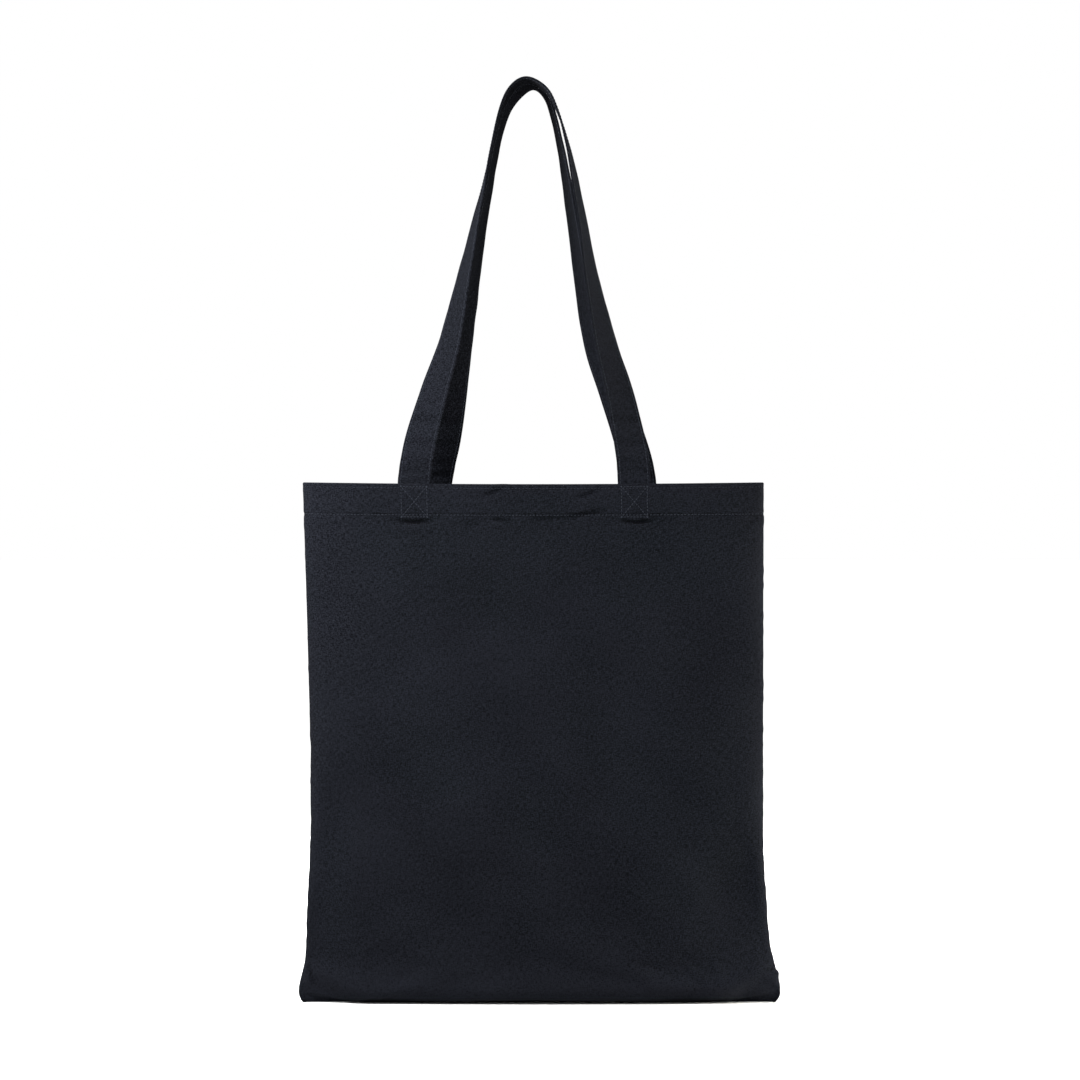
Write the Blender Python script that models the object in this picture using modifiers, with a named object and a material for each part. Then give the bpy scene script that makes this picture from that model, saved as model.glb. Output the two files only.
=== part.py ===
"""A flat canvas shopper: two sewn panels with turned hems and two long self-fabric handles.

Metres, +Z up.  The bag stands on its base with the origin under its middle, the front
panel faces -Y, and each handle turns about its own line along the rim of the mouth.
"""
import math

import bmesh
import bpy
from mathutils import Vector

# ---- Driving dimensions ------------------------------------------------------------------
MM = 0.001

BODY_HEIGHT = 411 * MM          # floor to the rim, at the side seams
RIM_DIP = 1.5 * MM              # how much lower the rim hangs halfway along
HALF_WIDTH_LEFT = 181.2 * MM    # plumb line through the middle to each side seam, at the waist
HALF_WIDTH_RIGHT = 177.3 * MM
RIM_FLARE_LEFT = 6.0 * MM       # the left seam leans out again above the waist
FLARE_START = 200 * MM
FLARE_POWER = 1.4
EAR_LEFT = 12.0 * MM            # how far each lower corner pokes out past the waist
EAR_RIGHT = 16.5 * MM
EAR_FADE = 32 * MM              # height over which that dies away
EAR_RADIUS = 7 * MM             # rounding of the corner itself

BASE_HALF_DEPTH = 14 * MM       # flat part of the base, on each side of the bottom seam
BASE_ROUND = 11 * MM            # radius between the base and the upright wall
WAIST_HALF_DEPTH = 28 * MM      # fullest part of the body
WAIST_HEIGHT = 130 * MM
RIM_HALF_DEPTH = 21 * MM        # the mouth stands slightly open
TAPER_BEYOND = 80 * MM          # the body is still narrowing at the rim: it would stop here above
PLAN_POWER = 3.0                # 2 is an ellipse, more is flatter faces and tighter sides
PINCH_START = 0.7               # share of the half width where the base starts to pinch shut

CLOTH = 0.7 * MM                # one ply of canvas
CLEAR = 0.3 * MM                # gap kept between pieces that touch
PLY_GAP = 0.5 * MM              # gap inside the turned hem
HEM_DEPTH = 25 * MM

STRAP_WIDTH = 26 * MM
STRAP_THICK = 2.0 * MM
STRAP_EDGE = 0.5 * MM           # bevel of the strap's folded edges
STRAP_TAIL = 31 * MM            # length of strap sewn down inside the hem
STRAP_START = 0.4 * MM          # the free strap starts this far above the rim
PIVOT_DEPTH = 20.4 * MM         # the line a handle folds over, from the middle plane
TWIST_HEIGHT = 290 * MM         # height over which the strap turns from flat-on to edge-on
TWIST_POWER = 1.6
PEAK_CLEAR = 0.4 * MM           # each strap keeps this far from the middle plane at the top

THREAD = 0.4 * MM               # thickness and width of a stitched line
THREAD_WIDTH = 0.6 * MM
HEM_STITCH_DROP = 24 * MM       # below the rim
RIM_STITCH_DROP = 2.5 * MM
STITCH_INSET = 2.2 * MM         # from the strap's edge to its topstitching
CROSS_SIZE = 21 * MM            # width of the crossed box that holds a strap
CROSS_TOP_DROP = 1.2 * MM
CROSS_DEPTH = 27.5 * MM
CROSS_TIP = 1.6 * THREAD_WIDTH  # how far the box's four windows stay back from their corners
THREAD_END = math.radians(12)   # the sewn lines stop this far short of the side seams

SEAM_WIDTH = 10 * MM            # overlocked seam allowance inside the bag
SEAM_THICK = 1.6 * MM
SEAM_CORNER = 20 * MM           # the allowances stop this far short of the lower corners
SEAM_HEM_GAP = 2 * MM           # and this far below the turned hem
SEAM_LIFT = 2.0 * MM            # rise of the bottom allowance where the base pinches shut

PANEL_COLUMNS = 26
FLAT_ROWS = 3
BEND_ROWS = 4
WALL_ROWS = 12
FOLD_ROWS = 4
SEAM_STEPS = 16
STRAP_STATIONS = 64
ROUTE_STEPS = 12                # fine steps between two points of a route
WELD = 0.01 * MM
SHARP = math.radians(40)

# Route of each handle's centre line, left to right: x, and height above the rim.
FRONT_ROUTE_MM = [
    (-98.4, 0), (-96.2, 17), (-92.4, 36), (-82.5, 71), (-70.5, 110), (-59.6, 162), (-48.9, 217),
    (-37.6, 266), (-30.5, 293), (-22.5, 310), (-10.5, 316), (2.5, 310), (11.5, 296), (21.0, 266),
    (31.4, 217), (40.7, 162), (52.0, 110), (62.6, 71), (70.2, 36), (73.4, 17), (74.6, 0),
]
BACK_ROUTE_MM = [
    (-82.5, 0), (-79.3, 17), (-74.8, 36), (-68.7, 71), (-62.3, 110), (-53.0, 162), (-42.8, 217),
    (-33.8, 266), (-26.0, 293), (-15.5, 310), (-3.0, 316), (4.5, 306), (9.5, 291), (16.5, 266),
    (24.6, 217), (33.4, 162), (44.4, 110), (59.0, 71), (71.2, 36), (76.9, 17), (80.1, 0),
]

FRONT = -1
BACK = 1
SIDE_NAMES = {FRONT: "front", BACK: "back"}
ROUTES = {FRONT: FRONT_ROUTE_MM, BACK: BACK_ROUTE_MM}


# ---- Shape of the bag --------------------------------------------------------------------
def smoothstep(start, end, value):
    """0 before start, 1 after end, with a smooth ramp between."""
    share = min(max((value - start) / (end - start), 0.0), 1.0)
    return share * share * (3 - 2 * share)


def side_seams(height):
    """x of the left and right seam at a height."""
    fade = math.exp(-max(height, 0.0) / EAR_FADE)
    flare = max(height - FLARE_START, 0.0) / (BODY_HEIGHT - FLARE_START)
    below = min(max(1 - height / EAR_RADIUS, 0.0), 1.0)
    rounding = EAR_RADIUS * (1 - math.sqrt(1 - below * below))
    left = HALF_WIDTH_LEFT + RIM_FLARE_LEFT * flare ** FLARE_POWER + EAR_LEFT * fade - rounding
    right = HALF_WIDTH_RIGHT + EAR_RIGHT * fade - rounding
    return -left, right


def half_depth(height):
    """Depth of the body's front or back wall at mid width, above the rounded base edge."""
    if height < WAIST_HEIGHT:
        low = BASE_HALF_DEPTH + BASE_ROUND
        return low + (WAIST_HALF_DEPTH - low) * smoothstep(BASE_ROUND, WAIST_HEIGHT, height)
    share = smoothstep(WAIST_HEIGHT, BODY_HEIGHT + TAPER_BEYOND, height)
    full = smoothstep(WAIST_HEIGHT, BODY_HEIGHT + TAPER_BEYOND, BODY_HEIGHT)
    return WAIST_HALF_DEPTH + (RIM_HALF_DEPTH - WAIST_HALF_DEPTH) * share / full


def plan_share(u):
    """Share of the full depth at u, from -1 at the left seam to 1 at the right one."""
    return (1 - abs(u) ** PLAN_POWER) ** (1 / PLAN_POWER)


def wall_point(side, angle, height, inset=0.0):
    """A point of the upright wall; angle runs from 0 at the left seam to pi at the right."""
    left, right = side_seams(height)
    u = -math.copysign(abs(math.cos(angle)) ** (2 / PLAN_POWER), math.cos(angle))
    middle = (left + right) / 2
    half_width = (right - left) / 2 - inset
    depth = (half_depth(height) - inset - CLEAR / 2) * plan_share(u) + CLEAR / 2
    dip = RIM_DIP * (1 - u * u) * (height / BODY_HEIGHT) ** 6
    return Vector((middle + u * half_width, side * depth, height - dip))


def wall_y(side, x, height, inset=0.0):
    """y of the wall straight behind or in front of a point at x and height."""
    left, right = side_seams(height)
    u = (x - (left + right) / 2) / ((right - left) / 2 - inset)
    return side * ((half_depth(height) - inset - CLEAR / 2) * plan_share(u) + CLEAR / 2)


def panel_profile():
    """Rows of a panel from the bottom seam up to the rim: depth, height, and inset.

    The last rows go over the rim and down again: that is the turned hem.
    """
    flat = [(BASE_HALF_DEPTH * step / FLAT_ROWS, 0.0, 0.0) for step in range(FLAT_ROWS)]
    bend = []
    for step in range(BEND_ROWS + 1):
        turn = math.radians(90) * step / BEND_ROWS
        bend.append((BASE_HALF_DEPTH + BASE_ROUND * math.sin(turn),
                     BASE_ROUND * (1 - math.cos(turn)), 0.0))
    wall = []
    for step in range(1, WALL_ROWS + 1):
        height = BASE_ROUND + (BODY_HEIGHT - HEM_DEPTH - BASE_ROUND) * step / WALL_ROWS
        wall.append((half_depth(height), height, 0.0))
    rim = []
    fold = CLOTH + PLY_GAP / 2
    for step in range(FOLD_ROWS + 1):
        turn = math.radians(180) * step / FOLD_ROWS
        height = BODY_HEIGHT - fold * (1 - math.sin(turn))
        rim.append((half_depth(height), height, fold * (1 - math.cos(turn))))
    hem = [(half_depth(height), height, 2 * fold)
           for height in (BODY_HEIGHT - HEM_DEPTH / 2, BODY_HEIGHT - HEM_DEPTH)]
    return flat + bend + wall + rim + hem


def profile_lengths(rows):
    """Cloth length from the bottom seam to each row, at mid width."""
    lengths = [0.0]
    for before, after in zip(rows, rows[1:]):
        lengths.append(lengths[-1] + math.dist(before[:2], after[:2]))
    return lengths


def panel_point(side, angle, row, cloth_up, cloth_total):
    """A point of a panel's outer face.

    In the base rows the cloth beside the seams stands up instead of lying on the floor,
    so the corners close to thin ears.
    """
    depth, height, inset = row
    if height > BASE_ROUND:
        return wall_point(side, angle, height, inset)
    seam_height = BODY_HEIGHT * cloth_up / cloth_total
    u = -math.copysign(abs(math.cos(angle)) ** (2 / PLAN_POWER), math.cos(angle))
    pinch = smoothstep(PINCH_START, 1.0, abs(u))
    lifted = height + (seam_height - height) * pinch
    left, right = side_seams(lifted)
    gap = CLEAR / 2 + CLOTH * pinch
    y = max(depth - gap, 0.0) * plan_share(u) + gap
    return Vector(((left + right) / 2 + u * (right - left) / 2, side * y, lifted))


def smooth_route(points, count):
    """Even steps along a smooth curve through the points."""
    fine = []
    padded = [2 * points[0] - points[1]] + points + [2 * points[-1] - points[-2]]
    for index in range(1, len(padded) - 2):
        before, start, end, after = padded[index - 1:index + 3]
        for step in range(ROUTE_STEPS):
            t = step / ROUTE_STEPS
            fine.append(0.5 * (2 * start + (end - before) * t
                               + (2 * before - 5 * start + 4 * end - after) * t ** 2
                               + (3 * start - before - 3 * end + after) * t ** 3))
    fine.append(points[-1])
    walked = [0.0]
    for before, after in zip(fine, fine[1:]):
        walked.append(walked[-1] + (after - before).length)
    route = []
    index = 0
    for step in range(count + 1):
        target = walked[-1] * step / count
        while index < len(fine) - 2 and walked[index + 1] < target:
            index += 1
        share = (target - walked[index]) / (walked[index + 1] - walked[index])
        route.append(fine[index].lerp(fine[index + 1], share))
    return route


def strap_frames(side):
    """Along one handle: centre, direction to the outer edge, and direction out of the face."""
    peak = max(height for _, height in ROUTES[side]) * MM
    tail_inset = 2 * CLOTH + PLY_GAP + CLEAR + STRAP_THICK / 2
    points = []
    for x_mm, height_mm in ROUTES[side]:
        height = height_mm * MM
        base = abs(wall_y(side, x_mm * MM, BODY_HEIGHT, tail_inset))
        top = STRAP_WIDTH / 2 + PEAK_CLEAR
        y = side * (base + (top - base) * smoothstep(0.0, peak, height))
        points.append(Vector((x_mm * MM, y, BODY_HEIGHT + STRAP_START + height)))
    route = smooth_route(points, STRAP_STATIONS)
    frames = []
    for index, centre in enumerate(route):
        ahead = route[min(index + 1, STRAP_STATIONS)]
        behind = route[max(index - 1, 0)]
        along = (ahead - behind).normalized()
        if index in (0, STRAP_STATIONS):
            along = Vector((0, 0, 1 if index == 0 else -1))
        height = centre.z - BODY_HEIGHT - STRAP_START
        left_over = max(1 - height / TWIST_HEIGHT, 0.0)
        twist = math.radians(90) * (1 - left_over ** TWIST_POWER)
        out_of_loop = Vector((-along.z, 0, along.x)).normalized()
        out_of_bag = Vector((0, side, 0))
        face = out_of_bag * math.cos(twist) + out_of_loop * math.sin(twist)
        edge = out_of_loop * math.cos(twist) - out_of_bag * math.sin(twist)
        frames.append((centre, edge, face))
    return frames


# ---- Making objects ----------------------------------------------------------------------
def clear_scene():
    for old in list(bpy.data.objects):
        bpy.data.objects.remove(old)


def make_material(name, color, roughness):
    material = bpy.data.materials.new(name)
    material.use_nodes = True
    shader = material.node_tree.nodes["Principled BSDF"]
    shader.inputs["Base Color"].default_value = (*color, 1)
    shader.inputs["Roughness"].default_value = roughness
    shader.inputs["Metallic"].default_value = 0
    return material


def add_object(name, mesh, material, parent=None):
    piece = bpy.data.objects.new(name, mesh)
    PARTS.objects.link(piece)
    mesh.materials.append(material)
    mesh.shade_smooth()
    mesh.set_sharp_from_angle(angle=SHARP)
    if parent:
        piece.parent = parent
        piece.matrix_parent_inverse = parent.matrix_world.inverted()
    return piece


def sheet_mesh(name, columns, rows, place, flip):
    """A grid of cloth, each of whose points goes where place(column, row) says."""
    grid = bmesh.new()
    bmesh.ops.create_grid(grid, x_segments=columns, y_segments=rows, size=1)
    for vertex in grid.verts:
        column = round((vertex.co.x + 1) / 2 * columns)
        row = round((vertex.co.y + 1) / 2 * rows)
        vertex.co = place(column, row)
    if flip:
        bmesh.ops.reverse_faces(grid, faces=grid.faces)
    mesh = bpy.data.meshes.new(name)
    grid.to_mesh(mesh)
    grid.free()
    return mesh


def solidify(piece, thickness, offset):
    shell = piece.modifiers.new("thickness", "SOLIDIFY")
    shell.thickness = thickness
    shell.offset = offset
    shell.use_even_offset = True


def bevel(piece, width):
    rounding = piece.modifiers.new("edges", "BEVEL")
    rounding.width = width
    rounding.segments = 1
    rounding.limit_method = "ANGLE"
    rounding.angle_limit = math.radians(50)


def make_panel(side):
    rows = panel_profile()
    lengths = profile_lengths(rows)
    total = lengths[-1] - HEM_DEPTH

    def place(column, row):
        return panel_point(side, math.pi * column / PANEL_COLUMNS, rows[row], lengths[row], total)

    name = f"{SIDE_NAMES[side]}_panel"
    mesh = sheet_mesh(name, PANEL_COLUMNS, len(rows) - 1, place, side == BACK)
    solidify(add_object(name, mesh, CANVAS), CLOTH, -1)


def make_wall_stitch(side, label, drop):
    """A sewn line that follows the outer face all the way along, below the rim."""
    def place(column, row):
        angle = THREAD_END + (math.pi - 2 * THREAD_END) * column / PANEL_COLUMNS
        height = BODY_HEIGHT - drop + THREAD_WIDTH * (row - 0.5)
        return wall_point(side, angle, height, -CLEAR - THREAD)

    name = f"{SIDE_NAMES[side]}_{label}_stitching"
    mesh = sheet_mesh(name, PANEL_COLUMNS, 1, place, side == BACK)
    solidify(add_object(name, mesh, THREADS), THREAD, -1)


def make_crossed_box(side, leg, centre_x):
    """The square with a cross that holds a strap end, sewn over the line of the hem."""
    outline = bpy.data.curves.new("crossed_box", "CURVE")
    outline.dimensions = "2D"
    outline.fill_mode = "BOTH"
    outline.extrude = THREAD / 2
    half_x = CROSS_SIZE / 2
    half_z = CROSS_DEPTH / 2
    corners = [(-1, -1), (1, -1), (1, 1), (-1, 1)]
    loops = [[(sx * (half_x + THREAD_WIDTH / 2), sz * (half_z + THREAD_WIDTH / 2))
              for sx, sz in corners]]
    for first, second in zip(corners, corners[1:] + corners[:1]):
        middle = ((first[0] + second[0]) / 2, (first[1] + second[1]) / 2)
        shrink_x = half_x - THREAD_WIDTH / 2
        shrink_z = half_z - THREAD_WIDTH / 2
        hole = []
        for sx, sz in (first, second):
            inward_x = 0 if middle[0] else -sx * CROSS_TIP
            inward_z = 0 if middle[1] else -sz * CROSS_TIP
            hole.append((sx * shrink_x + inward_x, sz * shrink_z + inward_z))
        hole.append((middle[0] * CROSS_TIP, middle[1] * CROSS_TIP))
        loops.append(hole)
    for loop in loops:
        spline = outline.splines.new("POLY")
        spline.points.add(len(loop) - 1)
        for point, (x, z) in zip(spline.points, loop):
            point.co = (x, z, 0, 1)
        spline.use_cyclic_u = True
    curve = bpy.data.objects.new("crossed_box_outline", outline)
    PARTS.objects.link(curve)
    bpy.context.view_layer.update()
    evaluated = curve.evaluated_get(bpy.context.evaluated_depsgraph_get())
    mesh = bpy.data.meshes.new_from_object(evaluated)
    bpy.data.objects.remove(curve)
    laid = bmesh.new()
    laid.from_mesh(mesh)
    bmesh.ops.remove_doubles(laid, verts=laid.verts, dist=WELD)
    middle_z = BODY_HEIGHT - RIM_DIP - CROSS_TOP_DROP - CROSS_DEPTH / 2
    for vertex in laid.verts:
        x = centre_x + vertex.co.x
        z = middle_z + vertex.co.y
        out = 2 * CLEAR + 1.5 * THREAD - vertex.co.z * side
        vertex.co = (x, wall_y(side, x, z) + side * out, z)
    bmesh.ops.recalc_face_normals(laid, faces=laid.faces)
    laid.to_mesh(mesh)
    laid.free()
    add_object(f"{SIDE_NAMES[side]}_{leg}_crossed_stitching", mesh, THREADS)


def make_strap_end(side, leg, centre_x):
    """The end of a handle, sewn down flat against the inside of the hem."""
    inset = 2 * CLOTH + PLY_GAP + CLEAR
    block = bmesh.new()
    bmesh.ops.create_cube(block, size=1)
    for vertex in block.verts:
        x = centre_x + vertex.co.x * STRAP_WIDTH
        z = BODY_HEIGHT - RIM_DIP - STRAP_TAIL * (0.5 - vertex.co.z)
        into = (vertex.co.y * -side + 0.5) * STRAP_THICK
        vertex.co = (x, wall_y(side, x, z, inset) - side * into, z)
    bmesh.ops.recalc_face_normals(block, faces=block.faces)
    mesh = bpy.data.meshes.new("strap_end")
    block.to_mesh(mesh)
    block.free()
    bevel(add_object(f"{SIDE_NAMES[side]}_{leg}_strap_end", mesh, CANVAS), STRAP_EDGE)


def make_handle(side, pivot):
    frames = strap_frames(side)
    half = STRAP_WIDTH / 2

    def place(column, row):
        centre, edge, _ = frames[row]
        return centre + edge * half * (column - 1)

    name = f"{SIDE_NAMES[side]}_handle"
    strap = add_object(name, sheet_mesh(name, 2, STRAP_STATIONS, place, side == FRONT), CANVAS, pivot)
    solidify(strap, STRAP_THICK, 0)
    bevel(strap, STRAP_EDGE)


def make_handle_stitch(side, pivot, label, direction):
    """Topstitching along one edge of a handle, on its outer face."""
    frames = strap_frames(side)
    across = STRAP_WIDTH / 2 - STITCH_INSET
    out = STRAP_THICK / 2 + CLEAR + THREAD / 2

    def place(column, row):
        centre, edge, face = frames[row]
        return centre + edge * (direction * across + THREAD_WIDTH * (column - 0.5)) + face * out

    name = f"{SIDE_NAMES[side]}_handle_{label}_stitching"
    thread = add_object(name, sheet_mesh(name, 1, STRAP_STATIONS, place, side == FRONT),
                        THREADS, pivot)
    solidify(thread, THREAD, 0)


def make_side_seam(label, hand):
    """Overlocked allowance of a side seam, standing into the bag on the middle plane."""
    low = SEAM_CORNER
    high = BODY_HEIGHT - HEM_DEPTH - SEAM_HEM_GAP

    def place(column, row):
        height = low + (high - low) * row / SEAM_STEPS
        seam = side_seams(height)[0 if hand < 0 else 1]
        return Vector((seam - hand * (CLOTH + 3 * CLEAR + SEAM_WIDTH * column), 0, height))

    name = f"{label}_seam_allowance"
    solidify(add_object(name, sheet_mesh(name, 1, SEAM_STEPS, place, False), CANVAS), SEAM_THICK, 0)


def make_bottom_seam():
    """Overlocked allowance of the bottom seam, standing up from the middle of the base."""
    left, right = side_seams(SEAM_CORNER)
    start = left + SEAM_CORNER + SEAM_WIDTH
    end = right - SEAM_CORNER - SEAM_WIDTH

    def place(column, row):
        x = start + (end - start) * column / SEAM_STEPS
        pinch = smoothstep(PINCH_START, 1.0, abs(2 * x - left - right) / (right - left))
        return Vector((x, 0, CLOTH + CLEAR + SEAM_LIFT * pinch + SEAM_WIDTH * row))

    name = "bottom_seam_allowance"
    mesh = sheet_mesh(name, SEAM_STEPS, 1, place, False)
    solidify(add_object(name, mesh, CANVAS), SEAM_THICK, 0)


def make_pivot(side):
    """The line along the rim that a handle flops over about."""
    pivot = bpy.data.objects.new(f"{SIDE_NAMES[side]}_handle_pivot", None)
    pivot.location = (0, side * PIVOT_DEPTH, BODY_HEIGHT)
    PARTS.objects.link(pivot)
    bpy.context.view_layer.update()
    return pivot


# ---- The bag -----------------------------------------------------------------------------
clear_scene()
PARTS = bpy.data.collections.new("canvas_tote_bag")
bpy.context.scene.collection.children.link(PARTS)
CANVAS = make_material("canvas", (0.014, 0.016, 0.021), 0.9)
THREADS = make_material("thread", (0.020, 0.023, 0.030), 0.8)

for SIDE in (FRONT, BACK):
    make_panel(SIDE)
    make_wall_stitch(SIDE, "hem", HEM_STITCH_DROP)
    make_wall_stitch(SIDE, "rim", RIM_STITCH_DROP)
    for LEG, POINT in (("left", ROUTES[SIDE][0]), ("right", ROUTES[SIDE][-1])):
        make_strap_end(SIDE, LEG, POINT[0] * MM)
        make_crossed_box(SIDE, LEG, POINT[0] * MM)
    PIVOT = make_pivot(SIDE)
    make_handle(SIDE, PIVOT)
    make_handle_stitch(SIDE, PIVOT, "outer_edge", 1)
    make_handle_stitch(SIDE, PIVOT, "inner_edge", -1)

make_side_seam("left", -1)
make_side_seam("right", 1)
make_bottom_seam()
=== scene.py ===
# %% [markdown]
# # A canvas tote bag, sewn in Blender
#
# This lesson dresses a plain model of a canvas tote bag.  The plain model, the frame, gives
# the sizes, the sewn places and the two lines that the handles fold over.  Here the bag gets
# its cloth: two panels that sag and pucker, turned hems, straps with pressed edges, and
# several thousand stitches.
#
# The frame is loaded first and never changed.  Its box is kept and printed.

# %% Load the frame
import math

import bmesh
import bpy
import numpy as np
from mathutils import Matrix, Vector


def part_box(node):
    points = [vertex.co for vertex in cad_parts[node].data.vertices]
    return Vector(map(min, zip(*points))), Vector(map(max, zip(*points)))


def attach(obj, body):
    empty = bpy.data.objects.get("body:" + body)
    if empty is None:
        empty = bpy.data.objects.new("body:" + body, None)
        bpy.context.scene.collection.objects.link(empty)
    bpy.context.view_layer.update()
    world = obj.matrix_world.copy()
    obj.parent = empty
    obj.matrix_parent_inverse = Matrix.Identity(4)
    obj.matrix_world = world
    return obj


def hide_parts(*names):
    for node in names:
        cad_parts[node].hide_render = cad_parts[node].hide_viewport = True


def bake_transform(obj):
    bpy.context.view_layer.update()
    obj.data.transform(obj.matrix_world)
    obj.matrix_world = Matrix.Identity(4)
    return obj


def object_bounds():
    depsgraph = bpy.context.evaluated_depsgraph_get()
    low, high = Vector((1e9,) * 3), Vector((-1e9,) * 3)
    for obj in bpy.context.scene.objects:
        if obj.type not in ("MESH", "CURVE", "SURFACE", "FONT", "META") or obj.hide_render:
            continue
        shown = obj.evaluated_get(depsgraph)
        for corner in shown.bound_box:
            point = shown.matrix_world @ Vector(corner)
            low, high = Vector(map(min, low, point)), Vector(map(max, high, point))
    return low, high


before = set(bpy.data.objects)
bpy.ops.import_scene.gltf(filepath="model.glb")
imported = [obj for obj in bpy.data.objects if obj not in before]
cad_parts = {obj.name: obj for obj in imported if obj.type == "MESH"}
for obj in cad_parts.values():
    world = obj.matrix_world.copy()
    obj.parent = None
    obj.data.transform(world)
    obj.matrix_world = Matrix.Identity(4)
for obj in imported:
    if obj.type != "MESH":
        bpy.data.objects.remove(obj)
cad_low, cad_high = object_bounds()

MM = 0.001
SEED = 7
print("frame box, mm:", [round(v / MM) for v in (*cad_low, *cad_high)])

# %% [markdown]
# ## Camera, floor and light
#
# A bag is photographed from well back, so that its straight sides stay straight.  A long lens
# at half the height of the bag and its handles sees the front face square on, and looks up a
# little at the underside of the handles' peak.
#
# The cloth is nearly black.  What shows its shape is the light that grazes it, so a soft key
# light stands up and to the left and a side light grazes the bag from low on the right.  Two
# more stand behind the bag, for its edges and its back, and a broad sun lies overhead.
# The floor is white and runs far back, so it meets a white surround.

# %% Camera
CAMERA_DISTANCE = 2.8
CAMERA_HEIGHT = 0.3655
VIEW_WIDTH = 0.8455          # what the frame takes in at the bag's front face
SENSOR = 0.036


def make_camera():
    """A level camera straight in front of the bag."""
    lens = bpy.data.cameras.new("front_camera")
    lens.sensor_width = SENSOR / MM
    lens.lens = SENSOR / MM * (CAMERA_DISTANCE + cad_low.y) / VIEW_WIDTH
    camera = bpy.data.objects.new("front_camera", lens)
    camera.location = (0.0005, -CAMERA_DISTANCE, CAMERA_HEIGHT)
    camera.rotation_euler = (math.radians(90), 0, 0)
    bpy.context.scene.collection.objects.link(camera)
    bpy.context.scene.camera = camera
    return lens.lens


print("lens, mm:", round(make_camera(), 1))


# %% Lights and surround
def soft_light(name, place, target, width, height, power, tint=(1, 1, 1)):
    """A rectangular soft light that faces its target."""
    light = bpy.data.lights.new(name, "AREA")
    light.shape = "RECTANGLE"
    light.size, light.size_y = width, height
    light.energy = power
    light.color = tint
    lamp = bpy.data.objects.new(name, light)
    lamp.location = place
    lamp.rotation_euler = (Vector(target) - Vector(place)).to_track_quat("-Z", "Y").to_euler()
    lamp.visible_camera = False
    bpy.context.scene.collection.objects.link(lamp)


soft_light("key_light", (-0.55, -0.40, 0.75), (0, 0, 0.30), 0.35, 0.35, 27)
soft_light("side_light", (1.1, -0.03, 0.15), (0.15, 0, 0.18), 0.3, 0.4, 46, (1.0, 0.97, 0.86))
soft_light("back_light", (0.85, 1.00, 1.10), (0, 0, 0.30), 0.6, 0.6, 22)
soft_light("rear_light", (-0.15, 1.50, 0.85), (0, 0, 0.30), 0.6, 0.6, 24)

overhead = bpy.data.lights.new("overhead", "SUN")
overhead.energy = 2.7
overhead.angle = math.radians(14)
lamp = bpy.data.objects.new("overhead", overhead)
lamp.rotation_euler = (math.radians(-7), 0, 0)
bpy.context.scene.collection.objects.link(lamp)

world = bpy.data.worlds.new("white_surround")
bpy.context.scene.world = world
world.use_nodes = True
world.node_tree.nodes["Background"].inputs["Color"].default_value = (1, 1, 1, 1)
world.node_tree.nodes["Background"].inputs["Strength"].default_value = 1.0
bpy.context.scene.view_settings.view_transform = "Standard"


# %% Floor
def make_floor():
    """A wide pale floor that the light turns white, but for the shade at the bag's foot."""
    mesh = bpy.data.meshes.new("floor")
    reach = 60
    mesh.from_pydata([(-reach, -reach, 0), (reach, -reach, 0), (reach, reach, 0), (-reach, reach, 0)],
                     [], [(0, 1, 2, 3)])
    floor = bpy.data.objects.new("floor", mesh)
    bpy.context.scene.collection.objects.link(floor)
    paper = bpy.data.materials.new("pale_paper")
    paper.use_nodes = True
    shader = paper.node_tree.nodes["Principled BSDF"]
    shader.inputs["Base Color"].default_value = (0.62, 0.62, 0.62, 1)
    shader.inputs["Roughness"].default_value = 1.0
    shader.inputs["Specular IOR Level"].default_value = 0.0
    mesh.materials.append(paper)


make_floor()

# %% [markdown]
# ## Shader sums in Python
#
# A woven cloth is a small amount of arithmetic on a map of the cloth.  Wiring each sum by hand
# hides what it says, so one class wraps a socket and takes the usual operators.  An expression
# such as `1 - mask` then adds its own Math nodes.  Every other node comes from one method.


# %% Socket sums
class Shade:
    """A socket of a material's tree that can be added, subtracted and multiplied."""

    def __init__(self, finish, socket):
        self.finish = finish
        self.socket = socket

    def maths(self, operation, *values):
        return self.finish.node("Math", {"operation": operation}, *values)

    def __add__(self, other):
        return self.maths("ADD", self, other)

    __radd__ = __add__

    def __sub__(self, other):
        return self.maths("SUBTRACT", self, other)

    def __rsub__(self, other):
        return self.maths("SUBTRACT", other, self)

    def __mul__(self, other):
        return self.maths("MULTIPLY", self, other)

    __rmul__ = __mul__

    def sine(self):
        return self.maths("SINE", self)

    def size(self):
        return self.maths("ABSOLUTE", self)

    def highest(self, other):
        return self.maths("MAXIMUM", self, other)

    def clamped(self, low, high):
        """0 below low, 1 above high, with a smooth ramp between."""
        settings = {"interpolation_type": "SMOOTHSTEP"}
        return self.finish.node("MapRange", settings, self, low, high, 0.0, 1.0)


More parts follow.
